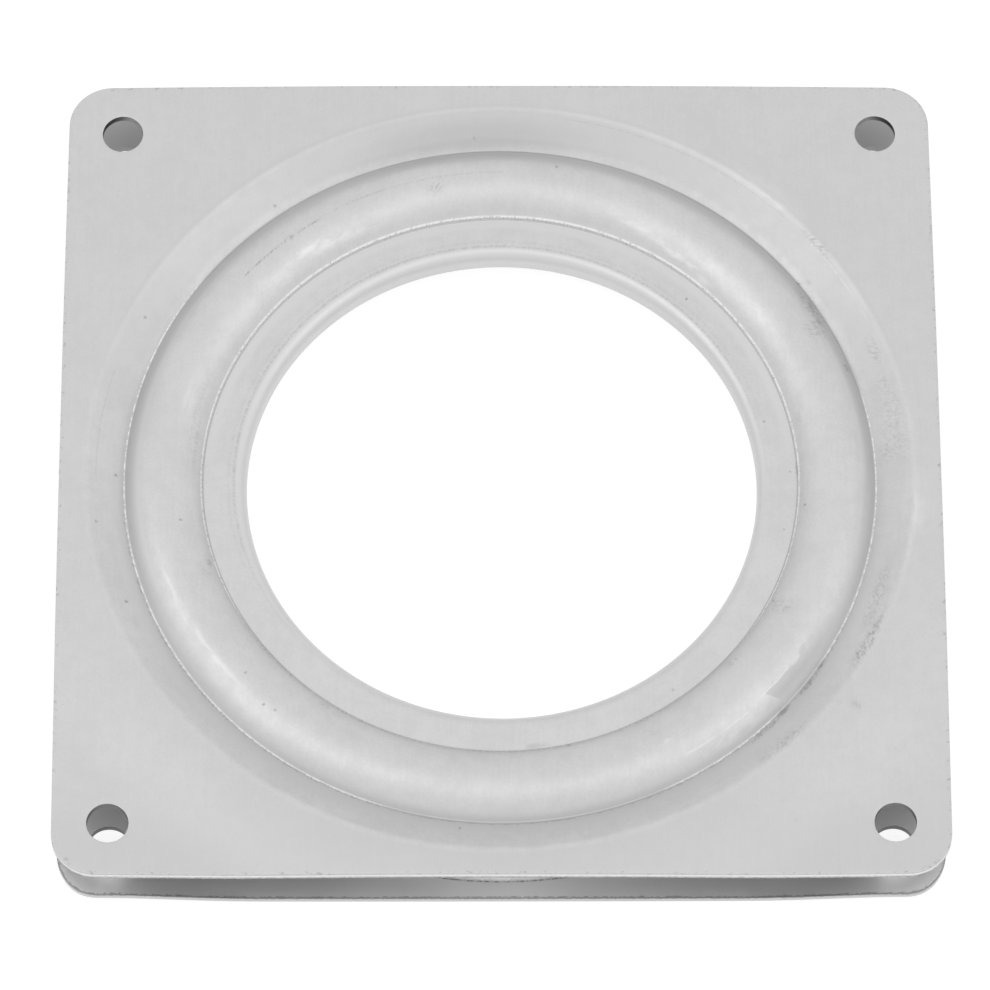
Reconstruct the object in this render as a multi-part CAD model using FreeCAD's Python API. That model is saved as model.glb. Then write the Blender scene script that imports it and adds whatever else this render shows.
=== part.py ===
"""Square lazy susan bearing: two stamped plates that turn on a ring of steel balls.

All sizes are in millimetres. The origin is the centre of the lower plate's
bottom face, +Z is the axis of rotation, and X and Y run along the plates' sides.
"""
import FreeCAD, Part
import math
import os

from FreeCAD import Vector

# Plates
side = 101.6
corner_radius = 5.0
sheet = 1.0
total_height = 7.94
screw_hole_diameter = 4.76
screw_hole_inset = 6.35

# Rings of the stamping, each as wide as it is along a radius, from the middle of a side inward
margin_width = 3.05
ramp_width = 4.4
race_width = 8.95
flange_width = 4.9

# Ramp from the flat margin down to the foot of the ball race
ramp_bend_radius = 2.1
race_depth = 2.7

# Balls
ball_diameter = 4.76
ball_count = 24
ball_clearance = 0.05

# Collar of the upper plate, flared outward under the lower plate's inner margin
collar_bend_radius = 1.4
collar_side_gap = 0.35
collar_face_gap = 0.2
flare_reach = 3.2

# Moulded ring that keeps the balls apart
retainer_width = 6.0
retainer_thickness = 1.9
pocket_clearance = 0.1

ramp_top_radius = side / 2 - margin_width
race_outer_foot = ramp_top_radius - ramp_width
race_inner_foot = race_outer_foot - race_width
bore_radius = race_inner_foot - flange_width
collar_outer_radius = bore_radius + sheet

ball_radius = ball_diameter / 2
ball_circle = (race_outer_foot + race_inner_foot) / 2
ball_height = total_height / 2
crown_recess = ball_height - ball_radius - ball_clearance - sheet
flange_top = race_depth + sheet + collar_face_gap + sheet
flare_bottom = race_depth - collar_face_gap - sheet

Z_AXIS = Vector(0, 0, 1)


def at(radius, height):
    """Point of a section that is turned about the Z axis."""
    return Vector(radius, 0, height)


inner_foot = at(race_inner_foot, total_height - race_depth)


def on_circle(centre, radius, degrees):
    turn = math.radians(degrees)
    return at(centre.x + radius * math.cos(turn), centre.z + radius * math.sin(turn))


def arc(centre, radius, start, end):
    """Arc of a section, between two angles in degrees."""
    angles = (start, (start + end) / 2, end)
    return Part.Arc(*[on_circle(centre, radius, angle) for angle in angles]).toShape()


def line(start, end):
    return Part.LineSegment(start, end).toShape()


def formed_face():
    """Outer face of a stamping from the flat margin inward: bend, ramp, and the arched ball race."""
    slope = math.atan2(race_depth, ramp_width)
    bend_reach = ramp_bend_radius * math.tan(slope / 2)
    bend_centre = at(ramp_top_radius + bend_reach, total_height - ramp_bend_radius)
    bend_end = 90 + math.degrees(slope)
    outer_foot = at(race_outer_foot, total_height - race_depth)
    crown = at(ball_circle, total_height - crown_recess)
    return [
        arc(bend_centre, ramp_bend_radius, 90, bend_end),
        line(on_circle(bend_centre, ramp_bend_radius, bend_end), outer_foot),
        Part.Arc(outer_foot, crown, inner_foot).toShape(),
    ]


def stamping(outer_face):
    """Sheet of even thickness under an outer face, turned round the axis and joined to its square margin."""
    section = Part.Wire(outer_face).makeOffset2D(sheet, 0, True, True, False)
    formed = section.revolve(Vector(), Z_AXIS, 360)
    opening = Part.makeCylinder(outer_face[0].Vertexes[0].X, sheet, at(0, total_height - sheet))
    return square_margin().cut(opening).fuse(formed).removeSplitter().Solids[0]


def square_margin():
    """Square sheet with rounded corners and a screw hole near each of them."""
    bottom = total_height - sheet
    blank = Part.makeBox(side, side, sheet, Vector(-side / 2, -side / 2, bottom))
    corners = [edge for edge in blank.Edges if edge.BoundBox.ZLength > sheet / 2]
    blank = blank.makeFillet(corner_radius, corners)
    hole_offset = side / 2 - screw_hole_inset
    for x in (-hole_offset, hole_offset):
        for y in (-hole_offset, hole_offset):
            blank = blank.cut(Part.makeCylinder(screw_hole_diameter / 2, sheet, Vector(x, y, bottom)))
    return blank


def upper_plate():
    """Plate whose centre is drawn down through the lower plate and flared outward to hold it."""
    flange_edge = at(race_inner_foot, flange_top)
    lip_centre = at(bore_radius + collar_bend_radius, flange_top - collar_bend_radius)
    flare_centre = at(bore_radius + collar_bend_radius, flare_bottom + collar_bend_radius)
    lip = [on_circle(lip_centre, collar_bend_radius, degrees) for degrees in (90, 180)]
    flare = [on_circle(flare_centre, collar_bend_radius, degrees) for degrees in (180, 270)]
    return stamping(formed_face() + [
        line(inner_foot, flange_edge),
        line(flange_edge, lip[0]),
        arc(lip_centre, collar_bend_radius, 90, 180),
        line(lip[1], flare[0]),
        arc(flare_centre, collar_bend_radius, 180, 270),
        line(flare[1], at(collar_outer_radius + flare_reach, flare_bottom)),
    ])


def lower_plate():
    """Mirror image of the upper stamping, with a flat inner margin held between flange and flare."""
    margin_edge = at(collar_outer_radius + collar_side_gap, total_height - race_depth)
    plate = stamping(formed_face() + [line(inner_foot, margin_edge)])
    return plate.mirror(at(0, total_height / 2), Z_AXIS)


def ball_places():
    places = []
    for number in range(ball_count):
        turn = 2 * math.pi * number / ball_count
        places.append(Vector(ball_circle * math.cos(turn), ball_circle * math.sin(turn), ball_height))
    return places


def ball_retainer():
    """Flat ring with a round pocket for each ball, narrower at both faces than the ball."""
    bottom = at(0, ball_height - retainer_thickness / 2)
    ring = Part.makeCylinder(ball_circle + retainer_width / 2, retainer_thickness, bottom)
    ring = ring.cut(Part.makeCylinder(ball_circle - retainer_width / 2, retainer_thickness, bottom))
    for place in ball_places():
        ring = ring.cut(Part.makeSphere(ball_radius + pocket_clearance, place))
    return ring


def main():
    parts = {
        "upper_plate": upper_plate(),
        "lower_plate": lower_plate(),
        "ball_retainer": ball_retainer(),
    }
    for number, place in enumerate(ball_places(), 1):
        parts["ball_%02d" % number] = Part.makeSphere(ball_radius, place)
    os.makedirs("parts", exist_ok=True)
    for name, shape in parts.items():
        shape.exportStep("parts/" + name + ".step")


main()
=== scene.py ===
"""Looks of a square lazy susan bearing: two zinc plated stampings on a ring of steel balls.

Lengths are in millimetres, apart from the frame's own, and become metres where a mesh is made.
The origin is the centre of the lower plate's bottom face, and +Z is the axis of rotation.
"""
import math
from collections import namedtuple

import bpy
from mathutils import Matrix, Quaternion, Vector, geometry

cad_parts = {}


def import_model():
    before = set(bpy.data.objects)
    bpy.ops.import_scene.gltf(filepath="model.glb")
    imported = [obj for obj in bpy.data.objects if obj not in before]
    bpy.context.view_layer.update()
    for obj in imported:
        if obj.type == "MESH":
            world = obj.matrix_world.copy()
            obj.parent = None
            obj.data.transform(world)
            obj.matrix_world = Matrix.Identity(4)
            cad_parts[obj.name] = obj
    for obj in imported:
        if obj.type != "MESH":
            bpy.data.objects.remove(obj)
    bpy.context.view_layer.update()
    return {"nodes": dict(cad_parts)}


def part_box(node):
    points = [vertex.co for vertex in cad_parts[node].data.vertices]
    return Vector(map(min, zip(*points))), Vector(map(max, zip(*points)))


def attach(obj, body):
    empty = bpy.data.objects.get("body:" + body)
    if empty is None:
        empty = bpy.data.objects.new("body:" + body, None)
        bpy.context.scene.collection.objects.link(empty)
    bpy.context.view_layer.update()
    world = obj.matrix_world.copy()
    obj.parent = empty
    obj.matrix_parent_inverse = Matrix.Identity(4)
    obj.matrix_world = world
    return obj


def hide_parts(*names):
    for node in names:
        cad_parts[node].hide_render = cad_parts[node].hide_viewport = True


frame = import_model()

MM = 0.001

# Plates, with the same sizes as the solids
_, plate_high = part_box("upper_plate")
total_height = plate_high.z / MM
half_side = plate_high.x / MM
corner_radius = 5.0
sheet = 1.0
hole_radius = 2.38
hole_inset = 6.35
hole_offset = half_side - hole_inset

# Section of the stamping, from the flat margin inward
margin_width = 3.05
ramp_width = 4.4
race_width = 8.95
flange_width = 4.9
race_depth = 2.7
ball_radius = 2.38
ball_clearance = 0.05
crown_recess = total_height / 2 - ball_radius - ball_clearance - sheet
ramp_top_radius = half_side - margin_width
race_outer_foot = ramp_top_radius - ramp_width
race_inner_foot = race_outer_foot - race_width
bore_radius = race_inner_foot - flange_width
collar_outer_radius = bore_radius + sheet
collar_bend_radius = 1.4
collar_side_gap = 0.35
collar_face_gap = 0.2
flange_height = race_depth + sheet + collar_face_gap + sheet
flare_height = race_depth - collar_face_gap - sheet
flare_reach = 3.2

# Bend at the top of the ramp; the lower plate's ramp starts further out in the photograph
ramp_bend_radius = 1.6
lower_ramp_shift = 0.4
lower_ramp_bend_radius = 2.1
lower_ramp_top_radius = ramp_top_radius + lower_ramp_shift

# Rounding that a press leaves on the sheet
foot_softening = 0.12
shoulder_softening = 0.12
outline_edge_radius = 0.16
hole_edge_radius = 0.06
hole_dish_depth = 0.03
hole_dish_width = 0.6

# How far the plates in the photograph are out of true: bent corners, bowed edges, sides further in
OutOfTrue = namedtuple("OutOfTrue", "bend bend_start bend_end front_bow rear_bow side_bow side_inset")
upper_out_of_true = OutOfTrue(
    bend=0.6, bend_start=50.0, bend_end=60.0, front_bow=0.33, rear_bow=0.33, side_bow=0.18, side_inset=0.0
)
lower_out_of_true = OutOfTrue(
    bend=1.0, bend_start=57.5, bend_end=68.0, front_bow=0.1, rear_bow=0.7, side_bow=0.18, side_inset=0.4
)
bow_end = 60.0
bore_shift = Vector((0.2, -0.25))

# Marks of wear, painted highlights and painted shade on the upper plate: angle and radius, half length in
# degrees, half width, strength
caked_grime = (
    (33.5, 43.2, 3.4, 0.4, 0.5),
    (31.3, 42.7, 2.2, 0.6, 0.8),
    (28.4, 42.3, 1.5, 0.6, 0.8),
    (26.2, 41.3, 1.2, 0.7, 0.7),
    (36.0, 43.3, 0.9, 0.4, 0.8),
    (19.3, 42.8, 0.9, 0.55, 1.0),
    (24.5, 43.3, 2.6, 0.3, 0.6),
    (2.0, 34.3, 2.4, 0.3, 0.7),
    (22.7, 34.4, 0.6, 0.3, 0.7),
    (-47.0, 43.9, 6.0, 0.5, 0.7),
    (-42.8, 43.7, 2.0, 0.5, 1.0),
    (-37.0, 43.8, 3.2, 0.5, 0.9),
    (-33.2, 43.6, 1.7, 0.4, 1.0),
    (-30.0, 47.4, 0.7, 0.25, 0.7),
    (-28.7, 47.3, 0.6, 0.3, 0.8),
    (-24.6, 47.35, 1.1, 0.3, 1.0),
    (-27.6, 46.9, 1.2, 0.3, 0.6),
    (-27.2, 35.0, 1.0, 0.4, 0.8),
    (-77.6, 34.8, 0.8, 0.35, 1.0),
    (198.5, 35.2, 1.6, 0.45, 0.8),
    (239.0, 34.8, 0.9, 0.3, 0.7),
)
thin_grime = (
    (31.0, 42.5, 4.6, 1.1, 0.8),
    (27.0, 41.6, 2.8, 0.9, 0.7),
    (8.0, 46.0, 10.0, 2.0, 0.35),
    (38.5, 47.5, 3.8, 0.6, 0.7),
    (31.0, 44.3, 0.8, 0.4, 0.5),
    (35.0, 44.2, 0.8, 0.4, 0.5),
    (4.3, 45.0, 2.2, 1.1, 0.5),
    (15.0, 45.9, 1.5, 0.8, 0.5),
    (20.0, 46.3, 3.0, 0.9, 0.5),
    (27.0, 40.5, 2.2, 0.7, 0.6),
    (12.2, 35.4, 0.8, 0.5, 0.6),
    (-27.5, 47.2, 5.6, 0.8, 1.0),
    (-29.5, 46.9, 2.0, 0.6, 1.0),
    (-20.0, 45.9, 6.5, 1.1, 0.5),
    (-47.0, 46.9, 5.5, 0.9, 0.5),
    (-42.0, 35.5, 1.8, 0.6, 0.6),
    (-28.0, 36.2, 2.0, 1.9, 0.5),
    (-38.1, 48.3, 0.5, 0.6, 0.7),
    (-36.5, 50.0, 2.4, 0.6, 0.5),
    (200.3, 35.9, 1.0, 0.7, 0.5),
    (235.6, 35.4, 1.2, 0.6, 0.6),
    (101.3, 38.0, 1.6, 0.9, 0.6),
    (128.9, 39.2, 1.5, 0.4, 0.9),
    (168.0, 36.0, 13.0, 0.35, 0.4),
    (174.0, 35.4, 9.0, 0.3, 0.4),
    (-62.3, 37.4, 1.2, 0.4, 0.5),
)
# Soft highlights on the race and the bend are painted in here, as bright places among the rubbed ones
rubbed_and_highlights = (
    (33.3, 36.8, 3.8, 0.7, 0.5),
    (46.5, 36.6, 3.6, 0.9, 0.35),
    (47.3, 35.0, 2.8, 0.45, 0.7),
    (50.8, 35.35, 3.6, 0.45, 0.9),
    (55.0, 35.5, 3.6, 0.45, 1.0),
    (59.3, 35.8, 3.6, 0.45, 0.9),
    (63.5, 36.2, 3.6, 0.4, 0.7),
    (117.5, 35.8, 6.5, 0.5, 0.5),
    (122.5, 36.2, 5.5, 0.5, 0.8),
    (127.5, 36.8, 5.5, 0.5, 0.8),
    (165.0, 37.3, 7.5, 0.8, 0.4),
    (202.0, 40.45, 10.0, 0.5, 0.7),
    (215.0, 40.15, 10.0, 0.45, 0.7),
    (-61.2, 39.1, 1.2, 0.4, 0.8),
    (49.0, 47.8, 9.0, 0.8, 0.35),
    (-8.0, 48.0, 8.0, 0.5, 0.5),
    (-50.0, 42.3, 9.0, 0.9, 0.5),
)
# Painted shade: a dark reflection on the ramp at the back, and shade laid over highlights of the bend and
# the race
painted_shade = (
    (94.0, 44.3, 22.0, 0.95, 0.9),
    (94.0, 45.2, 20.0, 1.8, 0.6),
    (104.0, 47.75, 42.0, 0.6, 0.3),
    (172.0, 43.6, 22.0, 0.35, 0.4),
    (-84.0, 33.9, 4.0, 0.4, 0.9),
)

marks_and_painted_light_of_upper_plate = {
    "caked_grime": caked_grime,
    "thin_grime": thin_grime,
    "rubbed_and_highlights": rubbed_and_highlights,
    "painted_shade": painted_shade,
}
mark_core = 0.2
mark_reach = 1.2

# Fine lines along the ring: first and last angle, radius, half width and strength
dark_lines = (
    (123.0, 139.0, 39.2, 0.22, 0.7),
    (90.0, 121.0, 39.4, 0.22, 0.3),
    (44.0, 80.0, 47.1, 0.09, 0.3),
    (164.0, 180.0, 46.6, 0.12, 0.3),
)
# Painted highlights along the ring, in the same columns
highlight_lines = (
    (-60.0, -46.0, 41.3, 0.2, 0.5),
    (-43.5, -37.5, 41.05, 0.14, 0.6),
    (25.0, 42.0, 47.05, 0.1, 0.5),
)

# Specks: angle and radius
specks = (
    (263.9, 44.6), (179.7, 44.4), (187.9, 46.9), (189.5, 37.2), (200.9, 45.8), (221.4, 38.7), (227.7, 40.0),
    (229.8, 39.6), (126.5, 44.4), (93.7, 44.8), (153.8, 46.0), (80.4, 40.8), (14.0, 31.6), (1.9, 33.6),
    (47.3, 32.3), (-53.7, 33.1), (-11.0, 33.3), (-6.1, 35.3), (-11.3, 43.4), (224.9, 68.9), (0.5, 50.6),
)
speck_radius = 0.25

# Angles are counted from the right, counter-clockwise, and start here
first_angle = -85.0

# Painted dark reflection on the race, sharp at one slanting end and faded at the other
patch_start = -43.0
patch_fade_start = -38.0
patch_end = -24.0
patch_slant = 0.9
patch_inner = 41.1
patch_outer = 42.0
patch_start_blur = 0.4
patch_inner_blur = 0.2
patch_inner_ragged = 0.45
patch_outer_fade = 0.9

# Painted light that lifts the shade of the valleys and the lip: two radii and the width of their edges, two
# angles and the width of theirs
painted_fill_places = (
    (43.65, 44.15, 1.9, 205.0, 400.0, 30.0),
    (43.65, 44.15, 1.9, -500.0, -30.0, 30.0),
    (42.65, 43.35, 0.6, 175.0, 205.0, 25.0),
    (42.65, 43.35, 0.6, -25.0, 5.0, 20.0),
    (33.6, 34.4, 0.8, 25.0, 155.0, 30.0),
    (41.9, 43.2, 0.5, 10.0, 190.0, 20.0),
    (29.0, 30.3, 0.4, -500.0, 500.0, 1.0),
)

# Painted glints and shadows beside a foot of the race: distance outside it, half width, and angles with the
# width of their ends
Crease = namedtuple("Crease", "distance half_width spans")
inner_glint = Crease(0.1, 0.2, [(-27, 203, 16)])
inner_shadow = Crease(-0.09, 0.1, [(-40, 220, 25)])
outer_glint = Crease(0.08, 0.1, [(150, 245, 12), (-28, 10, 8), (-62, -46, 4)])
outer_shadow = Crease(0.3, 0.17, [(190, 400, 12), (-100, -28, 8)])

# Painted shade beside the race's outer foot, over its highlight, and the angles between which it is weaker
outer_shade_distance = 0.05
outer_shade_half_width = 0.3
outer_shade_weaker = (30, 155, 15)

# Short radial ticks outside the race's inner foot, and rings round the bore with their strengths
tick_foot = (0.15, 0.35, 0.25)
tick_spans = [(-500, -58, 8), (217, 500, 8)]
die_rings = [(1.3, 0.28, 1.0), (1.9, 0.35, 0.4)]
die_span = (50, 170, 60)

# Inside the gap: where the strip of painted light along the front edge ends, and the mark where the ramp
# starts
front_strip = -47.4
front_strip_blur = 0.5
ramp_mark = 48.75
ramp_mark_width = 0.16
inner_fade = 30.0

# Where the walls of the screw holes change tone: from front to rear, and outward from the hole's centre
wall_change = 10.0
outward_wall = (0.5, 2.3)

# Darker plating on the flat margin, more so towards the front, and painted shade on the ramp at the back
darker_margin_front = -48.0
darker_margin_back = -36.0
darker_margin = (47.9, 48.5)
shaded_back_ramp = (44.5, 48.0, 0.6)
shaded_back_ramp_span = (25, 150, 25)

# Size of the grains in the plating, and of the breaks in lines and edges
cloud_size = 6.0
blotch_size = 1.5
grain_size = 0.32
rolling_size = 0.45
rolling_stretch = 0.035
break_size = 0.4
tick_size = 0.45
stroke_size = 0.7
hair_size = 0.3
stroke_slant = 0.7

# Tones of the metal
base_dark = 0.59
base_light = 0.635
# Painted light in the valleys and on the lip
painted_fill_tone = 0.65
# Painted glints at the feet of the race, painted shade over a glint, and the dark tone of painted shadows
# and press ticks
inner_crease_glint = 0.98
outer_crease_glint = 0.92
outer_crease_shade = 0.46
crease_dark = 0.42
# Painted highlights, and light press ticks
rubbed_and_highlight_bright = 0.74
# Painted shade, and a painted dark reflection
painted_shade_grey = 0.40
dark_reflection_grey = 0.50
grime_grey = 0.27
# Darker margin, and painted shade on the ramp at the back
flat_grey = 0.56
sheared_bright = 0.82
lower_sheared = 0.62
torn_grey = 0.58
# Dark tone of the mark where the ramp starts, and of painted shadows along the cut edges and the burr
dark_mark_and_shadow = 0.25
# Painted shade on the walls of the screw holes, of the upper and the lower plate
hole_wall_grey = 0.24
hole_wall_dark = 0.07
hole_wall_light = 0.5
lower_wall_front = 0.1
lower_wall_back = 0.3
# Inside the gap: painted light at the front edge, a scuff tone painted near white for highlights, and
# painted shade further back
inner_front_light = 0.86
scuff_highlight_tone = 0.98
inner_front = 0.62
inner_back = 0.46

# Tones of the hidden pieces
ball_dark = 0.50
ball_light = 0.58
plastic_dark = (0.58, 0.56, 0.50, 1.0)
plastic_light = (0.68, 0.66, 0.60, 1.0)

# Fineness of the meshes
turns = 400
section_step = 0.25
inner_face_step = 2.0
straight_enough = math.radians(1.5)
hole_segments = 72
corner_segments = 14
outline_step = 1.0
rounding_steps = 6
margin_grid = 1.3
rim_insets = [0.32, 0.5, 0.75]
same_point = 1e-6
offset_tolerance = 0.005
sharp_angle = math.radians(35)

# Lamps, surroundings and floor
ambient_strength = 0.85
floor_reach = 3000
floor_grey = 0.75
floor_faint_grey = 0.25
floor_glow = 0.85
lamp_width = 500
lamp_height = 900
left_lamp_place = Vector((-560, -60, 1000))
left_lamp_power = 0.9
right_lamp_place = Vector((560, -100, 1000))
right_lamp_power = 0.7

# Camera, from the perspective of the plate's edges and holes in the photograph
camera_aim = Vector((-0.62, -3.385, total_height))
camera_distance = 814.9
camera_elevation = 63.466
camera_heading = 0.693
camera_roll = 0.566
lens = 257.82
sensor_width = 36.0


def main():
    upper = plate_object("upper_plate_stamping", upper_face(), False)
    lower = plate_object("lower_plate_stamping", lower_face(), True)
    for piece, node in ((upper, "upper_plate"), (lower, "lower_plate")):
        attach(piece, node)
        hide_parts(node)
    upper.data.materials.append(plated_steel("plated steel, upper plate", True))
    lower.data.materials.append(plated_steel("plated steel, lower plate", False))
    for name, node in frame["nodes"].items():
        if name.startswith("ball_retainer"):
            dress(node, retainer_plastic())
        elif name.startswith("ball_"):
            dress(node, ball_steel())
    studio()
    aim_camera()


def dress(node, material):
    node.data.materials.clear()
    node.data.materials.append(material)


# Sections

def at(radius, height):
    return Vector((radius, height))


def on_circle(centre, radius, degrees):
    turn = math.radians(degrees)
    return centre + radius * Vector((math.cos(turn), math.sin(turn)))


def arc(centre, radius, start, end):
    """Points along an arc of a section, between two angles in degrees."""
    count = max(4, math.ceil(radius * math.radians(abs(end - start)) / section_step))
    return [on_circle(centre, radius, start + (end - start) * step / count) for step in range(count + 1)]


def line(start, end):
    count = max(1, math.ceil((end - start).length / section_step))
    return [start.lerp(end, step / count) for step in range(count + 1)]


def soften(points, corner, reach):
    """Round a sharp corner of a section with a short curve that starts and ends about `reach` from it."""
    nearest = min(range(len(points)), key=lambda index: (points[index] - corner).length)
    before = [point for point in points[:nearest] if (point - corner).length > reach]
    after = [point for point in points[nearest:] if (point - corner).length > reach]
    curve = []
    for step in range(1, rounding_steps):
        share = step / rounding_steps
        curve.append(before[-1].lerp(corner, share).lerp(corner.lerp(after[0], share), share))
    return before + curve + after


def formed_face(ramp_top, bend_radius):
    """Outer face of a stamping from the flat margin inward: bend, ramp, and the arched ball race."""
    slope = math.atan2(race_depth, ramp_top - race_outer_foot)
    bend_reach = bend_radius * math.tan(slope / 2)
    bend_centre = at(ramp_top + bend_reach, total_height - bend_radius)
    bend_end = 90 + math.degrees(slope)
    outer_foot = at(race_outer_foot, total_height - race_depth)
    points = arc(bend_centre, bend_radius, 90, bend_end)
    points += line(points[-1], outer_foot)[1:]
    points += race_arc()[1:]
    return soften(points, outer_foot, foot_softening)


def race_arc():
    half_chord = (race_outer_foot - race_inner_foot) / 2
    rise = race_depth - crown_recess
    radius = (half_chord ** 2 + rise ** 2) / (2 * rise)
    centre = at(race_inner_foot + half_chord, total_height - crown_recess - radius)
    spread = math.degrees(math.asin(half_chord / radius))
    return arc(centre, radius, 90 - spread, 90 + spread)


def upper_face():
    """Outer face of the plate with the collar: race, flange, bore wall and the flare at its lower end."""
    inner_foot = at(race_inner_foot, total_height - race_depth)
    flange_edge = at(race_inner_foot, flange_height)
    lip_centre = at(bore_radius + collar_bend_radius, flange_height - collar_bend_radius)
    flare_centre = at(bore_radius + collar_bend_radius, flare_height + collar_bend_radius)
    points = formed_face(ramp_top_radius, ramp_bend_radius)
    points += line(inner_foot, flange_edge)[1:]
    points += line(flange_edge, at(lip_centre.x, flange_height))[1:]
    points += arc(lip_centre, collar_bend_radius, 90, 180)[1:]
    points += line(points[-1], at(bore_radius, flare_centre.y))[1:]
    points += arc(flare_centre, collar_bend_radius, 180, 270)[1:]
    points += line(points[-1], at(collar_outer_radius + flare_reach, flare_height))[1:]
    points = soften(points, inner_foot, shoulder_softening)
    return soften(points, flange_edge, shoulder_softening)


def lower_face():
    """Outer face of the other plate, whose flat inner margin ends short of the collar."""
    inner_foot = at(race_inner_foot, total_height - race_depth)
    margin_edge = at(collar_outer_radius + collar_side_gap, inner_foot.y)
    points = formed_face(lower_ramp_top_radius, lower_ramp_bend_radius)
    points += line(inner_foot, margin_edge)[1:]
    return soften(points, inner_foot, foot_softening)


def inner_face(outer):
    """The sheet's other face: the outer one moved by its thickness, without the loops at its corners."""
    moved = []
    for index, point in enumerate(outer):
        ahead = outer[min(index + 1, len(outer) - 1)]
        behind = outer[max(index - 1, 0)]
        along = (ahead - behind).normalized()
        moved.append(point + sheet * Vector((-along.y, along.x)))
    clear = sheet * (1 - offset_tolerance)
    return [place for place in moved if min((place - point).length for point in outer) > clear]


def thin_out(points):
    """Fewer points on the long easy runs of the hidden face, all of them where it turns."""
    kept = [points[0]]
    for behind, point, ahead in zip(points, points[1:], points[2:]):
        turning = (point - behind).angle(ahead - point) > straight_enough
        if turning or (point - kept[-1]).length > inner_face_step:
            kept.append(point)
    return kept + [points[-1]]


# Plates

def outline_distance(x, y):
    """How far inside the plate's rounded square outline a point lies."""
    across = max(abs(x) - half_side + corner_radius, 0)
    along = max(abs(y) - half_side + corner_radius, 0)
    if across > 0 and along > 0:
        return corner_radius - math.hypot(across, along)
    return half_side - max(abs(x), abs(y))


def hole_distance(x, y):
    """How far outside the nearest screw hole's edge a point lies."""
    return math.hypot(abs(x) - hole_offset, abs(y) - hole_offset) - hole_radius


def edge_drop(x, y):
    """How far the sheared edges and the dished rims of the holes lie under the flat face."""
    to_hole = hole_distance(x, y)
    drop = rounding(outline_distance(x, y), outline_edge_radius) + rounding(to_hole, hole_edge_radius)
    return drop + hole_dish_depth * math.exp(-max(0, to_hole) / hole_dish_width)


def rounding(distance, radius):
    """How far a rounded edge lies under the flat face, at a distance from the edge."""
    short = min(max(radius - distance, 0), radius)
    return radius - math.sqrt(radius ** 2 - short ** 2)


def smooth(value, low, high):
    share = min(max((value - low) / (high - low), 0), 1)
    return share * share * (3 - 2 * share)


def out_of_true(x, y, z, errors):
    """A point of the flat margin where the real plate has it."""
    radius = math.hypot(x, y)
    corner_share = smooth(radius, errors.bend_start, errors.bend_end) * smooth(-y, 0, hole_offset)
    share = smooth(radius, race_outer_foot, bow_end)
    x_bow = share * errors.side_bow * (y / half_side) ** 2
    y_bow = share * (errors.front_bow if y < 0 else errors.rear_bow) * (x / half_side) ** 2
    inset = errors.side_inset * smooth(abs(x), hole_offset + hole_radius, half_side)
    return Vector((
        x - x_bow * x / half_side - math.copysign(inset, x),
        y - y_bow * y / half_side,
        z - errors.bend * corner_share,
    ))


def off_centre(radius, angle, height, bore_moves):
    """A point of the formed middle; the upper plate's bore was pierced a little off the axis."""
    shift = bore_shift * bore_moves * (1 - smooth(radius, bore_radius + collar_bend_radius, race_inner_foot))
    return Vector((radius * math.cos(angle) + shift.x, radius * math.sin(angle) + shift.y, height))


def rounded_square(inset):
    """Points of the outline, moved inward by `inset`."""
    points = []
    radius = corner_radius - inset
    straight = half_side - corner_radius
    runs = math.ceil(2 * straight / outline_step)
    for quarter in range(4):
        turn = math.radians(90 * quarter)
        corner = Vector((straight, straight))
        side = []
        for number in range(corner_segments + 1):
            angle = math.radians(90 * number / corner_segments)
            side.append(corner + radius * Vector((math.cos(angle), math.sin(angle))))
        for number in range(1, runs):
            side.append(Vector((straight - 2 * straight * number / runs, half_side - inset)))
        for point in side:
            points.append(Vector((
                point.x * math.cos(turn) - point.y * math.sin(turn),
                point.x * math.sin(turn) + point.y * math.cos(turn),
            )))
    return points


def circle(centre, radius, count):
    points = []
    for number in range(count):
        angle = 2 * math.pi * number / count
        points.append(centre + radius * Vector((math.cos(angle), math.sin(angle))))
    return points


def edge_insets(radius):
    """Distances from a sheared edge at which the mesh follows its rounding."""
    angles = [math.radians(90 * step / rounding_steps) for step in range(rounding_steps + 1)]
    return [radius * (1 - math.cos(angle)) for angle in angles] + rim_insets


def margin_loops(margin_start):
    """Loops that the mesh of the margin follows: round its middle, along its outline and round its holes."""
    loops = [circle(Vector((0, 0)), margin_start, turns)]
    for inset in edge_insets(outline_edge_radius):
        loops.append(rounded_square(inset))
    for x in (-hole_offset, hole_offset):
        for y in (-hole_offset, hole_offset):
            for inset in edge_insets(hole_edge_radius):
                loops.append(circle(Vector((x, y)), hole_radius + inset, hole_segments))
    return loops


def grid_points(margin_start):
    """Points of a plain grid on the margin, where they keep clear of the loops."""
    points = []
    last_inset = edge_insets(hole_edge_radius)[-1]
    steps = math.floor(half_side / margin_grid)
    for column in range(-steps, steps + 1):
        for row in range(-steps, steps + 1):
            x = column * margin_grid
            y = row * margin_grid
            clear = min(outline_distance(x, y), hole_distance(x, y)) - last_inset
            if clear > margin_grid / 2 and math.hypot(x, y) > margin_start + margin_grid / 2:
                points.append(Vector((x, y)))
    return points


def on_margin(place, margin_start):
    """Whether a triangle with this middle is part of the margin, also along the chords of a hole."""
    chord_depth = hole_radius * (1 - math.cos(math.pi / hole_segments))
    on_sheet = outline_distance(*place) > 0 and hole_distance(*place) > -chord_depth
    return on_sheet and place.length > margin_start


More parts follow.
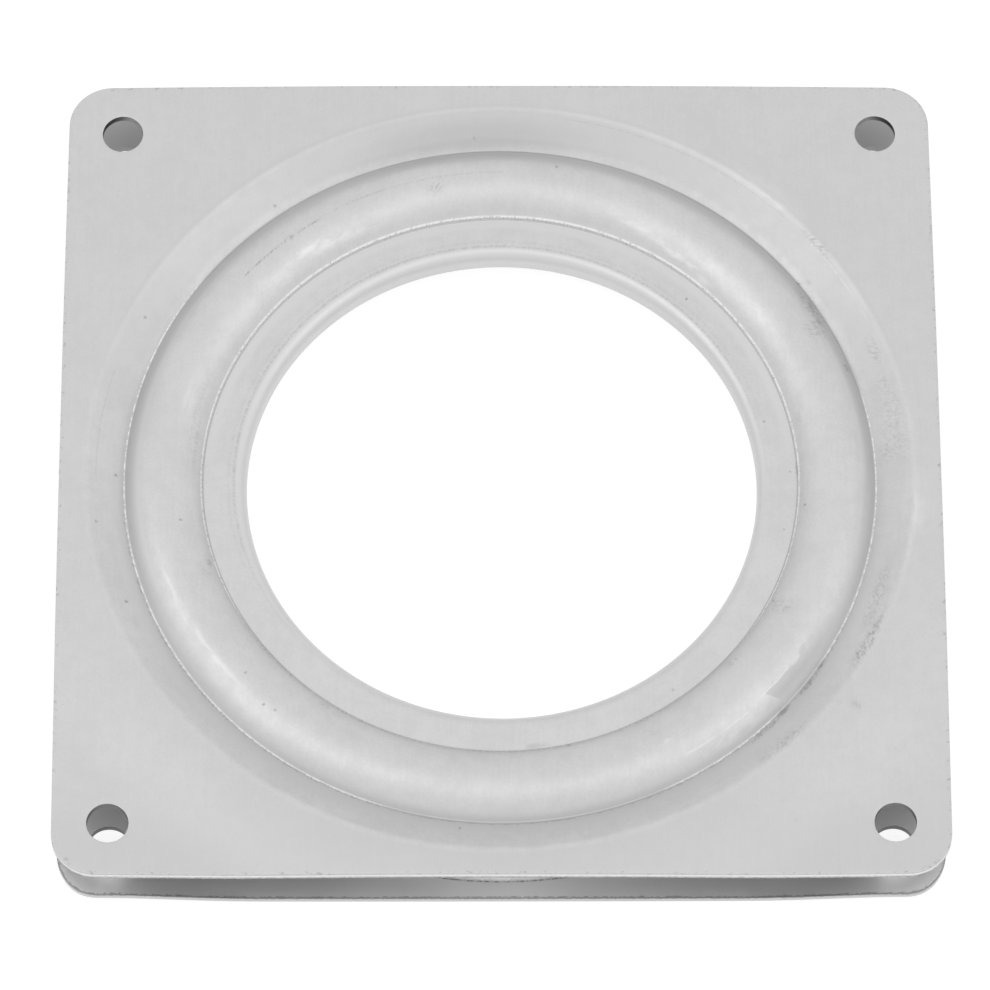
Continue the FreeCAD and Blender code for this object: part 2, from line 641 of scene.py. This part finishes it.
def margin_plan(margin_start):
    """Points, loops and triangles of the flat margin, from a radius outward, seen from above."""
    points = []
    loops = []
    for loop in margin_loops(margin_start):
        loops.append(range(len(points), len(points) + len(loop)))
        points.extend(loop)
    points.extend(grid_points(margin_start))
    edges = [(loop[index - 1], loop[index]) for loop in loops for index in range(len(loop))]
    flat, _, triangles, origins, _, _ = geometry.delaunay_2d_cdt(points, edges, [], 0, same_point)
    kept = []
    for triangle in triangles:
        middle = sum((flat[index] for index in triangle), Vector((0, 0))) / 3
        if on_margin(middle, margin_start):
            kept.append(triangle)
    place = {origin: index for index, group in enumerate(origins) for origin in group}
    return flat, [[place[index] for index in loop] for loop in loops], kept


class Shell:
    """Points and faces of a plate, each face with the kind of surface that it belongs to."""

    def __init__(self):
        self.points = []
        self.faces = []
        self.kinds = []

    def face(self, *corners, kind="outer_face"):
        self.faces.append(corners)
        self.kinds.append(kind)

    def turn_over(self):
        self.points = [Vector((point.x, point.y, total_height - point.z)) for point in self.points]
        self.faces = [tuple(reversed(corners)) for corners in self.faces]

    def mesh(self, name):
        """Mesh in metres, smooth apart from its sharp edges, with the kinds of its faces."""
        mesh = bpy.data.meshes.new(name)
        mesh.from_pydata([point * MM for point in self.points], [], self.faces)
        for kind in ("inner_face", "hole_wall", "sheared_edge"):
            stored = mesh.attributes.new(kind, "FLOAT", "FACE")
            stored.data.foreach_set("value", [float(kind == other) for other in self.kinds])
        mesh.validate()
        mesh.polygons.foreach_set("use_smooth", [True] * len(mesh.polygons))
        mesh.set_sharp_from_angle(angle=sharp_angle)
        return mesh


def plate_object(name, outer, mirrored):
    """Stamped plate: a formed middle that is turned about the axis, in a flat margin with screw holes."""
    flat, loops, triangles = margin_plan(outer[0].x)
    rims = loops[1::len(edge_insets(hole_edge_radius))]
    under = len(flat)
    shell = Shell()
    add_margin(shell, flat, triangles, lower_out_of_true if mirrored else upper_out_of_true)
    add_walls(shell, rims, under)
    add_middle(shell, outer, loops[0], under, 0 if mirrored else 1)
    if mirrored:
        shell.turn_over()
    mesh = shell.mesh(name)
    store_margin_places(mesh, flat)
    if not mirrored:
        outer_rings = range(2 * under, 2 * under + (len(outer) - 1) * turns)
        for kind, places in marks_and_painted_light_of_upper_plate.items():
            store_marks(mesh, kind, places, [*range(under), *outer_rings])
    piece = bpy.data.objects.new(name, mesh)
    bpy.context.scene.collection.objects.link(piece)
    return piece


def add_margin(shell, flat, triangles, errors):
    """Flat margin: the points of its outer face come first, and those of its inner face after them."""
    for x, y in flat:
        shell.points.append(out_of_true(x, y, total_height - edge_drop(x, y), errors))
    for x, y in flat:
        shell.points.append(out_of_true(x, y, total_height - sheet, errors))
    under = len(flat)
    for triangle in triangles:
        shell.face(*triangle)
        shell.face(*[under + index for index in reversed(triangle)], kind="inner_face")


def add_walls(shell, rims, under):
    """Sheared edge along the outline, which is the first rim, and walls of the screw holes."""
    for rim in rims:
        kind = "sheared_edge" if rim is rims[0] else "hole_wall"
        for here, there in zip(rim[-1:] + rim, rim):
            if kind == "hole_wall":
                here, there = there, here
            shell.face(here, under + here, under + there, there, kind=kind)


def add_middle(shell, outer, start, under, bore_moves):
    """Formed middle: its section turned about the axis, from the margin's outer face to its inner one."""
    section = outer[1:] + list(reversed(thin_out(inner_face(outer))))
    if (section[-1] - at(outer[0].x, total_height - sheet)).length < section_step:
        section.pop()
    rings = [start]
    for point in section:
        rings.append(range(len(shell.points), len(shell.points) + turns))
        for number in range(turns):
            angle = 2 * math.pi * number / turns
            shell.points.append(off_centre(point.x, angle, point.y, bore_moves))
    rings.append([under + index for index in start])
    for number, (ring, following) in enumerate(zip(rings, rings[1:])):
        kind = "outer_face" if number < len(outer) else "inner_face"
        for index in range(turns):
            shell.face(ring[index - 1], ring[index], following[index], following[index - 1], kind=kind)


def store_margin_places(mesh, flat):
    """Keep which points lie on the margin's inner face, and how far inside the outline each one lies."""
    under = len(flat)
    count = len(mesh.vertices)
    depth = mesh.attributes.new("depth", "FLOAT", "POINT")
    depth.data.foreach_set("value", [float(under <= index < 2 * under) for index in range(count)])
    inset = mesh.attributes.new("inset", "FLOAT", "POINT")
    margin_insets = [outline_distance(*point) for point in flat]
    formed_insets = [half_side] * (count - 2 * under)
    inset.data.foreach_set("value", margin_insets + margin_insets + formed_insets)


def store_marks(mesh, kind, places, shown):
    """Keep the strength of one kind of mark at each point that shows: wear, painted highlight and painted
    shade alike.
    """
    stored = mesh.attributes.new(kind, "FLOAT", "POINT")
    for index in shown:
        x, y, _ = mesh.vertices[index].co / MM
        angle = math.degrees(math.atan2(y, x))
        if angle < first_angle:
            angle += 360
        stored.data[index].value = strength_at(places, angle, math.hypot(x, y))


def strength_at(places, angle, radius):
    """Strongest of the soft oval marks that reach a place."""
    strongest = 0.0
    for mark_angle, mark_radius, half_length, half_width, strength in places:
        across = (radius - mark_radius) / half_width
        along = (angle - mark_angle) / half_length
        if max(abs(across), abs(along)) < mark_reach:
            share = 1 - smooth(math.hypot(across, along), mark_core, mark_reach)
            strongest = max(strongest, strength * share)
    return strongest


# Materials

Polar = namedtuple("Polar", "angle radius strip unrolled slanted")


class Graph:
    """Node tree of one material; its methods add nodes and return the output in use."""

    def __init__(self, name):
        self.material = bpy.data.materials.new(name)
        self.material.use_nodes = True
        self.nodes = self.material.node_tree.nodes
        self.links = self.material.node_tree.links
        self.shader = self.nodes["Principled BSDF"]

    def feed(self, socket, value):
        if isinstance(value, bpy.types.NodeSocket):
            self.links.new(value, socket)
        else:
            socket.default_value = value

    def add(self, kind, inputs, output=0, **settings):
        node = self.nodes.new(kind)
        for name, value in settings.items():
            setattr(node, name, value)
        for name, value in inputs.items():
            self.feed(node.inputs[name], value)
        return node.outputs[output]

    def math(self, operation, *values):
        return self.add("ShaderNodeMath", dict(enumerate(values)), operation=operation)

    def chain(self, operation, first, others):
        for other in others:
            first = self.math(operation, first, other)
        return first

    def plus(self, first, *others):
        return self.chain("ADD", first, others)

    def minus(self, first, second):
        return self.math("SUBTRACT", first, second)

    def times(self, first, *others):
        return self.chain("MULTIPLY", first, others)

    def larger(self, first, *others):
        return self.chain("MAXIMUM", first, others)

    def place(self):
        """Place on the piece, in millimetres."""
        position = self.add("ShaderNodeTexCoord", {}, "Object")
        return self.add("ShaderNodeVectorMath", {0: position, "Scale": 1 / MM}, operation="SCALE")

    def stretch(self, place, x, y, z):
        return self.add("ShaderNodeVectorMath", {0: place, 1: (x, y, z)}, operation="MULTIPLY")

    def noise(self, place, size, detail=3.0, roughness=0.5):
        """Noise from 0 to 1 whose grains are about `size` millimetres across."""
        inputs = {"Vector": place, "Scale": 1 / size, "Detail": detail, "Roughness": roughness}
        return self.add("ShaderNodeTexNoise", inputs, "Fac")

    def fit(self, value, low, high, to_low=0.0, to_high=1.0):
        """Value moved from one range to another, eased at both ends."""
        inputs = {0: value, 1: low, 2: high, 3: to_low, 4: to_high}
        return self.add("ShaderNodeMapRange", inputs, interpolation_type="SMOOTHSTEP")

    def mix(self, share, first, second):
        inputs = {0: share, 6: first, 7: second}
        return self.add("ShaderNodeMix", inputs, 2, data_type="RGBA")

    def paint(self, shade, level, share):
        """Shade with a grey laid over it, as strongly as a share says."""
        return self.mix(share, shade, grey(level))

    def window(self, value, low, high, edge):
        """1 between two values, easing to 0 over `edge` beyond each of them."""
        rising = self.fit(value, low - edge, low)
        return self.times(rising, self.fit(value, high, high + edge, 1.0, 0.0))

    def sectors(self, polar, *spans):
        """1 between the first and last angle of any span, easing to 0 over the width of its ends."""
        return self.larger(*[self.window(polar.angle, *span) for span in spans])

    def ridge(self, value, middle, reach):
        """1 at a value, easing to 0 at `reach` from it."""
        away = self.math("ABSOLUTE", self.minus(value, middle))
        return self.fit(away, 0.0, reach, 1.0, 0.0)

    def part(self, place, axis):
        return self.add("ShaderNodeSeparateXYZ", {0: place}, axis)

    def polar(self, place):
        """Angle round the axis in degrees, and radius; also both unrolled to a flat strip."""
        parts = self.nodes.new("ShaderNodeSeparateXYZ")
        self.feed(parts.inputs[0], place)
        x, y, z = parts.outputs
        radius = self.math("SQRT", self.plus(self.times(x, x), self.times(y, y)))
        angle = self.math("DEGREES", self.math("ARCTAN2", y, x))
        angle = self.plus(angle, self.times(self.math("LESS_THAN", angle, first_angle), 360.0))
        along = self.times(angle, math.radians(race_outer_foot))
        slanted = self.plus(along, self.times(radius, stroke_slant))
        return Polar(
            angle,
            radius,
            self.add("ShaderNodeCombineXYZ", {"X": along, "Y": radius}),
            self.add("ShaderNodeCombineXYZ", {"X": along, "Y": radius, "Z": z}),
            self.add("ShaderNodeCombineXYZ", {"X": slanted, "Y": radius, "Z": z}),
        )

    def stored(self, name):
        """Strength of one kind of wear or surface, stored with the mesh."""
        return self.add("ShaderNodeAttribute", {}, "Fac", attribute_name=name)

    def lines(self, polar, places):
        """Fine lines along the ring, each as strong as its own share."""
        total = 0.0
        for first, last, radius, half_width, strength in places:
            line_share = self.times(self.ridge(polar.radius, radius, half_width), strength)
            total = self.larger(total, self.times(line_share, self.sectors(polar, (first, last, 1.0))))
        return total

    def dots(self, polar, places, breaks):
        """Small ragged specks at an angle and a radius."""
        nearest = 1.0
        for angle, radius in places:
            centre = (math.radians(angle) * race_outer_foot, radius, 0)
            inputs = {0: polar.strip, 1: centre}
            distance = self.add("ShaderNodeVectorMath", inputs, "Value", operation="DISTANCE")
            nearest = self.math("MINIMUM", nearest, distance)
        nearest = self.plus(nearest, self.fit(breaks, 0.3, 0.7, -0.1, 0.1))
        return self.fit(nearest, 0.1 * speck_radius, 1.1 * speck_radius, 0.6, 0.0)

    def bump(self, height, strength, distance):
        inputs = {"Height": height, "Strength": strength, "Distance": distance * MM}
        return self.add("ShaderNodeBump", inputs)

    def set(self, **inputs):
        for name, value in inputs.items():
            self.feed(self.shader.inputs[name.replace("_", " ")], value)
        return self.material


def grey(level):
    return (level, level, level, 1.0)


def plated_steel(name, marked):
    """Dull zinc plating with painted light and shade, wear of its own on the marked plate, and duller inside
    the gap.
    """
    graph = Graph(name)
    place = graph.place()
    polar = graph.polar(place)
    blotches = graph.noise(place, blotch_size, 2.0)
    grain = graph.noise(place, grain_size, 2.0)
    rolling = graph.noise(graph.stretch(place, 1.0, rolling_stretch, 1.0), rolling_size, 2.0)
    breaks = graph.noise(polar.unrolled, break_size, 3.0, 0.7)
    tone = mottling(graph, place, blotches, grain, rolling)
    shade = plating(graph, place, polar, tone, grain)
    shade = marks_and_painted_light(graph, polar, breaks, shade, marked)
    shade = sheared_edges(graph, breaks, shade, sheared_bright if marked else lower_sheared)
    shade = hole_walls(graph, place, polar, shade, marked)
    inside = graph.stored("inner_face")
    strip = graph.part(place, "Y")
    strip = graph.fit(strip, front_strip - front_strip_blur, front_strip + front_strip_blur, 1.0, 0.0)
    shade = graph.mix(inside, shade, inside_tone(graph, place, polar, breaks, strip))
    scuffed = graph.times(inside, ramp_scuffs(graph, polar, blotches, strip))
    dull = graph.times(inside, graph.minus(1.0, strip))
    roughness = graph.plus(graph.fit(tone, 0.2, 0.8, 0.46, 0.42), graph.times(dull, 0.2))
    return graph.set(
        Base_Color=graph.paint(shade, scuff_highlight_tone, scuffed),
        Metallic=graph.fit(dull, 0.0, 1.0, 1.0, 0.2),
        Roughness=graph.minus(roughness, graph.times(scuffed, 0.3)),
        Normal=graph.bump(graph.plus(grain, graph.times(rolling, 0.5)), 0.12, 0.02),
    )


def mottling(graph, place, blotches, grain, rolling):
    """Uneven tone of the plating, from 0 to 1."""
    clouds = graph.noise(place, cloud_size, 3.0)
    tone = graph.plus(clouds, graph.times(grain, 1.1), graph.times(blotches, 0.7), graph.times(rolling, 0.5))
    return graph.fit(tone, 1.15, 2.15)


def plating(graph, place, polar, tone, grain):
    """Plating before wear: darker on the flat margin, more so towards the front, with painted shade on the
    ramp at the back, painted light in the valleys and on the lip, and fine dark grains.
    """
    shade = graph.mix(tone, grey(base_dark), grey(base_light))
    frontward_share = graph.fit(graph.part(place, "Y"), darker_margin_front, darker_margin_back, 0.75, 0.35)
    margin = graph.fit(polar.radius, *darker_margin)
    shade = graph.paint(shade, flat_grey, graph.times(margin, frontward_share))
    # Painted shade on the ramp at the back, over the highlight of its bend
    ramp = graph.window(polar.radius, *shaded_back_ramp)
    back_ramp = graph.times(ramp, graph.sectors(polar, shaded_back_ramp_span))
    shade = graph.paint(shade, flat_grey, graph.times(back_ramp, 0.7))
    # Painted light in the valleys and on the lip
    shade = graph.paint(shade, painted_fill_tone, painted_fill_light(graph, polar))
    return graph.paint(shade, grime_grey, graph.fit(grain, 0.7, 0.78, 0.0, 0.25))


def marks_and_painted_light(graph, polar, breaks, shade, marked):
    """Painted glints, shadows and die marks on either plate, under and over the wear and painted light that
    one plate has of its own.
    """
    if marked:
        shade = rubbing_and_painted_light(graph, polar, shade)
    shade = crease_glints_and_shadows(graph, polar, breaks, shade)
    shade = press_ticks(graph, polar, shade)
    shade = die_marks(graph, polar, breaks, shade)
    if marked:
        shade = grime(graph, polar, breaks, shade)
    return shade


def sheared_edges(graph, breaks, shade, bright):
    """Edges cut by a press: bright where the punch slid, torn and darker below, with a ragged painted shadow
    at the gap.
    """
    depth = graph.plus(graph.stored("depth"), graph.fit(breaks, 0.3, 0.7, -0.12, 0.12))
    edge = graph.mix(graph.fit(depth, 0.35, 0.5), grey(bright), grey(torn_grey))
    # Painted shadow along the side of the cut edge that faces the gap
    edge = graph.paint(edge, dark_mark_and_shadow, graph.fit(depth, 0.76, 0.9))
    nicks = graph.fit(graph.stored("inset"), 0.2, 0.55, 1.0, 0.0)
    nicks = graph.times(nicks, graph.fit(breaks, 0.56, 0.66, 0.0, 0.5))
    shade = graph.paint(shade, grime_grey, nicks)
    return graph.mix(graph.stored("sheared_edge"), shade, edge)


def hole_walls(graph, place, polar, shade, marked):
    """Torn walls of the screw holes, in painted shade that is darkest where they face the middle of the gap.
    """
    behind = graph.fit(graph.part(place, "Y"), -wall_change, wall_change)
    # Painted shade, near black on the outward side of the upper plate's rear holes
    if marked:
        centre = math.hypot(hole_offset, hole_offset)
        outward = graph.fit(polar.radius, *[centre + distance for distance in outward_wall])
        rear_wall = graph.mix(outward, grey(hole_wall_light), grey(hole_wall_dark))
        wall = graph.mix(behind, grey(hole_wall_grey), rear_wall)
    else:
        wall = graph.mix(behind, grey(lower_wall_front), grey(lower_wall_back))
    return graph.mix(graph.stored("hole_wall"), shade, wall)


def inside_tone(graph, place, polar, breaks, strip):
    """Inside the gap: painted light at the front, painted shade further back, the ramp's mark, and a painted
    burr shadow.
    """
    # Painted shade further back in the gap
    backward = graph.fit(graph.part(place, "Y"), -inner_fade, inner_fade)
    tone = graph.mix(backward, grey(inner_front), grey(inner_back))
    tone = graph.paint(tone, inner_front_light, strip)
    mark = graph.ridge(polar.radius, ramp_mark, ramp_mark_width)
    mark = graph.times(mark, strip, graph.fit(breaks, 0.58, 0.45, 0.2, 0.9))
    tone = graph.paint(tone, dark_mark_and_shadow, mark)
    # Painted shadow of the burr along the outline
    burr_shadow = graph.plus(graph.stored("inset"), graph.fit(breaks, 0.3, 0.7, -0.12, 0.12))
    return graph.paint(tone, dark_mark_and_shadow, graph.fit(burr_shadow, 0.1, 0.28, 0.6, 0.0))


def ramp_scuffs(graph, polar, blotches, strip):
    """Light scuffs on the ramp, just inside the mark where it starts, painted near white to show as
    highlights.
    """
    ramp = graph.fit(polar.radius, ramp_mark - 0.3, ramp_mark - 0.1, 1.0, 0.0)
    return graph.times(ramp, strip, graph.fit(blotches, 0.45, 0.6, 0.1, 0.9))


def painted_fill_light(graph, polar):
    """Share of painted light, which lifts the shade in the valleys and on the lip."""
    total = 0.0
    for inner, outer, radial_edge, *span in painted_fill_places:
        across = graph.window(polar.radius, inner, outer, radial_edge)
        total = graph.larger(total, graph.times(across, graph.sectors(polar, span)))
    return total


def crease_glints_and_shadows(graph, polar, breaks, shade):
    """Painted glints: thin broken bright lines at the feet of the race, with painted shadows beside them."""
    inner = graph.times(crease(graph, polar, race_inner_foot, inner_glint), graph.fit(breaks, 0.36, 0.5, 0.1))
    under = crease(graph, polar, race_inner_foot, inner_shadow)
    outer = crease(graph, polar, race_outer_foot, outer_glint)
    outer = graph.times(outer, graph.fit(breaks, 0.46, 0.56, 0.0, 0.9))
    beside = crease(graph, polar, race_outer_foot, outer_shadow)
    beside = graph.times(beside, graph.fit(breaks, 0.52, 0.4, 0.0, 0.7))
    # Painted shade over the highlight beside the outer foot, weaker where the painted glint shows and at the
    # back
    dull = graph.times(
        graph.ridge(polar.radius, race_outer_foot + outer_shade_distance, outer_shade_half_width),
        graph.fit(graph.sectors(polar, *outer_glint.spans), 0.0, 1.0, 0.85, 0.5),
        graph.fit(graph.sectors(polar, outer_shade_weaker), 0.0, 1.0, 1.0, 0.6),
    )
    shade = graph.paint(shade, outer_crease_shade, dull)
    # Painted shadows beside the feet of the race
    shade = graph.paint(shade, crease_dark, graph.larger(under, beside))
    # Painted glints
    shade = graph.paint(shade, outer_crease_glint, outer)
    return graph.paint(shade, inner_crease_glint, inner)


def crease(graph, polar, foot, line):
    """Painted line beside a foot of the race, glint and shadow alike, between the angles where it shows."""
    ridge = graph.ridge(polar.radius, foot + line.distance, line.half_width)
    return graph.times(ridge, graph.sectors(polar, *line.spans))


def press_ticks(graph, polar, shade):
    """Short radial ticks at the race's inner foot in front, light and dark in turn."""
    ticks = graph.noise(graph.stretch(polar.strip, 1.0, 0.3, 1.0), tick_size, 3.0, 0.65)
    foot = graph.window(graph.minus(polar.radius, race_inner_foot), *tick_foot)
    foot = graph.times(foot, graph.sectors(polar, *tick_spans))
    shade = graph.paint(shade, crease_dark, graph.times(foot, graph.fit(ticks, 0.5, 0.34, 0.0, 0.5)))
    return graph.paint(shade, rubbed_and_highlight_bright, graph.times(foot, graph.fit(ticks, 0.54, 0.68, 0.0, 0.4)))


def die_marks(graph, polar, breaks, shade):
    """Faint broken rings near the bore, where the flange bends over the die."""
    rings = 0.0
    for distance, half_width, strength in die_rings:
        ring = graph.ridge(polar.radius, bore_radius + distance, half_width)
        rings = graph.larger(rings, graph.times(ring, strength))
    share = graph.times(rings, graph.fit(breaks, 0.4, 0.6, 0.02, 0.33), graph.sectors(polar, die_span))
    return graph.paint(shade, grime_grey, share)


def rubbing_and_painted_light(graph, polar, shade):
    """Painted shade, painted highlights among rubbed places, and a painted dark reflection on the race of
    the upper plate.
    """
    strokes = graph.noise(graph.stretch(polar.slanted, 0.35, 1.0, 1.0), stroke_size, 3.0)
    # Painted shade
    shade = graph.paint(shade, painted_shade_grey, graph.times(graph.stored("painted_shade"), 0.45))
    # Painted dark reflection on the race
    shade = graph.paint(shade, dark_reflection_grey, race_dark_reflection(graph, polar, strokes))
    # Painted highlights among the rubbed places
    light = graph.times(graph.stored("rubbed_and_highlights"), graph.fit(strokes, 0.35, 0.62, 0.1, 1.0))
    # Painted highlight lines
    lines = graph.times(graph.lines(polar, highlight_lines), graph.fit(strokes, 0.4, 0.55, 0.1, 1.0))
    return graph.paint(shade, rubbed_and_highlight_bright, graph.larger(light, lines))


def race_dark_reflection(graph, polar, strokes):
    """Painted dark reflection on the race, with a ragged inner edge."""
    ragged = graph.fit(strokes, 0.3, 0.7, -patch_inner_ragged, patch_inner_ragged)
    ragged = graph.plus(polar.radius, ragged)
    slant = graph.times(graph.minus(polar.radius, patch_inner), patch_slant)
    slanted = graph.minus(polar.angle, slant)
    return graph.times(
        graph.fit(slanted, patch_start - patch_start_blur, patch_start),
        graph.fit(slanted, patch_fade_start, patch_end, 1.0, 0.0),
        graph.fit(ragged, patch_inner - patch_inner_blur, patch_inner + patch_inner_blur),
        graph.fit(polar.radius, patch_outer, patch_outer + patch_outer_fade, 0.9, 0.0),
    )


def grime(graph, polar, breaks, shade):
    """Grime in the creases, smudges, scratches and specks of the upper plate."""
    hairs = graph.noise(graph.stretch(polar.slanted, 1.0, 0.4, 1.0), hair_size, 3.0, 0.7)
    caked = graph.plus(graph.times(graph.stored("caked_grime"), 0.5), hairs)
    caked = graph.fit(caked, 0.62, 1.1, 0.0, 0.62)
    thin = graph.times(graph.stored("thin_grime"), graph.fit(hairs, 0.42, 0.66, 0.0, 0.75))
    scratches = graph.times(graph.lines(polar, dark_lines), graph.fit(hairs, 0.4, 0.6, 0.05, 0.8))
    dark = graph.larger(caked, thin, scratches, graph.dots(polar, specks, breaks))
    return graph.paint(shade, grime_grey, dark)


def ball_steel():
    """Polished steel with fine rolling scuffs."""
    if "ball steel" in bpy.data.materials:
        return bpy.data.materials["ball steel"]
    graph = Graph("ball steel")
    place = graph.place()
    scuffs = graph.noise(graph.stretch(place, 1.0, 1.0, 6.0), 0.4, 4.0)
    return graph.set(
        Base_Color=graph.mix(scuffs, grey(ball_dark), grey(ball_light)),
        Metallic=1.0,
        Roughness=graph.fit(scuffs, 0.35, 0.7, 0.14, 0.26),
        Normal=graph.bump(scuffs, 0.1, 0.01),
    )


def retainer_plastic():
    """Natural moulded plastic, a little uneven in tone."""
    if "retainer plastic" in bpy.data.materials:
        return bpy.data.materials["retainer plastic"]
    graph = Graph("retainer plastic")
    place = graph.place()
    tone = graph.noise(place, 3.0, 4.0)
    skin = graph.noise(place, 0.15, 2.0)
    return graph.set(
        Base_Color=graph.mix(tone, plastic_dark, plastic_light),
        Roughness=graph.fit(skin, 0.3, 0.7, 0.45, 0.6),
        Normal=graph.bump(skin, 0.2, 0.01),
    )


# Studio

def studio():
    floor()
    world()
    softbox("left softbox", left_lamp_place, left_lamp_power)
    softbox("right softbox", right_lamp_place, right_lamp_power)


def seen_directly(nodes, links):
    """1 for rays from the camera, from reflections and through glass, and 0 for the light that falls."""
    path = nodes.new("ShaderNodeLightPath")
    total = path.outputs["Is Camera Ray"]
    for name in ("Is Glossy Ray", "Is Transmission Ray"):
        either = nodes.new("ShaderNodeMath")
        either.operation = "MAXIMUM"
        links.new(total, either.inputs[0])
        links.new(path.outputs[name], either.inputs[1])
        total = either.outputs[0]
    return total


def world():
    """White surroundings, dimmer as a light on the object than as a background."""
    studio_world = bpy.data.worlds.new("studio")
    studio_world.use_nodes = True
    bpy.context.scene.world = studio_world
    nodes = studio_world.node_tree.nodes
    links = studio_world.node_tree.links
    output = nodes["World Output"]
    ambient = nodes["Background"]
    ambient.inputs["Color"].default_value = grey(1.0)
    ambient.inputs["Strength"].default_value = ambient_strength
    background = nodes.new("ShaderNodeBackground")
    background.inputs["Color"].default_value = grey(1.0)
    background.inputs["Strength"].default_value = 1.0
    choice = nodes.new("ShaderNodeMixShader")
    links.new(seen_directly(nodes, links), choice.inputs[0])
    links.new(ambient.outputs[0], choice.inputs[1])
    links.new(background.outputs[0], choice.inputs[2])
    links.new(choice.outputs[0], output.inputs["Surface"])


def floor():
    """Pale floor that looks white and keeps a faint shadow of the object."""
    reach = floor_reach * MM
    mesh = bpy.data.meshes.new("floor")
    corners = [(-reach, -reach, 0), (reach, -reach, 0), (reach, reach, 0), (-reach, reach, 0)]
    mesh.from_pydata(corners, [], [(0, 1, 2, 3)])
    piece = bpy.data.objects.new("floor", mesh)
    bpy.context.scene.collection.objects.link(piece)
    material = bpy.data.materials.new("floor")
    material.use_nodes = True
    mesh.materials.append(material)
    nodes = material.node_tree.nodes
    links = material.node_tree.links
    nodes.remove(nodes["Principled BSDF"])
    plain = nodes.new("ShaderNodeBsdfDiffuse")
    plain.inputs["Color"].default_value = grey(floor_grey)
    faint = nodes.new("ShaderNodeBsdfDiffuse")
    faint.inputs["Color"].default_value = grey(floor_faint_grey)
    glow = nodes.new("ShaderNodeEmission")
    glow.inputs["Strength"].default_value = floor_glow
    white = nodes.new("ShaderNodeAddShader")
    links.new(faint.outputs[0], white.inputs[0])
    links.new(glow.outputs[0], white.inputs[1])
    choice = nodes.new("ShaderNodeMixShader")
    links.new(seen_directly(nodes, links), choice.inputs[0])
    links.new(plain.outputs[0], choice.inputs[1])
    links.new(white.outputs[0], choice.inputs[2])
    links.new(choice.outputs[0], nodes["Material Output"].inputs["Surface"])


def softbox(name, place, power):
    """Rectangular lamp that faces the middle of the object."""
    lamp = bpy.data.lights.new(name, "AREA")
    lamp.shape = "RECTANGLE"
    lamp.size = lamp_width * MM
    lamp.size_y = lamp_height * MM
    lamp.energy = power
    holder = bpy.data.objects.new(name, lamp)
    holder.location = place * MM
    holder.rotation_mode = "QUATERNION"
    holder.rotation_quaternion = (-place).to_track_quat("-Z", "Y")
    bpy.context.scene.collection.objects.link(holder)


def aim_camera():
    """Camera where the photograph was taken from."""
    elevation = math.radians(camera_elevation)
    heading = math.radians(camera_heading)
    forward = Vector((
        math.sin(heading) * math.cos(elevation),
        math.cos(heading) * math.cos(elevation),
        -math.sin(elevation),
    ))
    roll = Quaternion((0, 0, 1), math.radians(camera_roll))
    data = bpy.data.cameras.new("camera")
    data.lens = lens
    data.sensor_width = sensor_width
    data.clip_end = 20
    camera = bpy.data.objects.new("camera", data)
    camera.location = (camera_aim - camera_distance * forward) * MM
    camera.rotation_mode = "QUATERNION"
    camera.rotation_quaternion = forward.to_track_quat("-Z", "Y") @ roll
    bpy.context.scene.collection.objects.link(camera)
    bpy.context.scene.camera = camera
    bpy.context.scene.view_settings.view_transform = "Standard"


main()
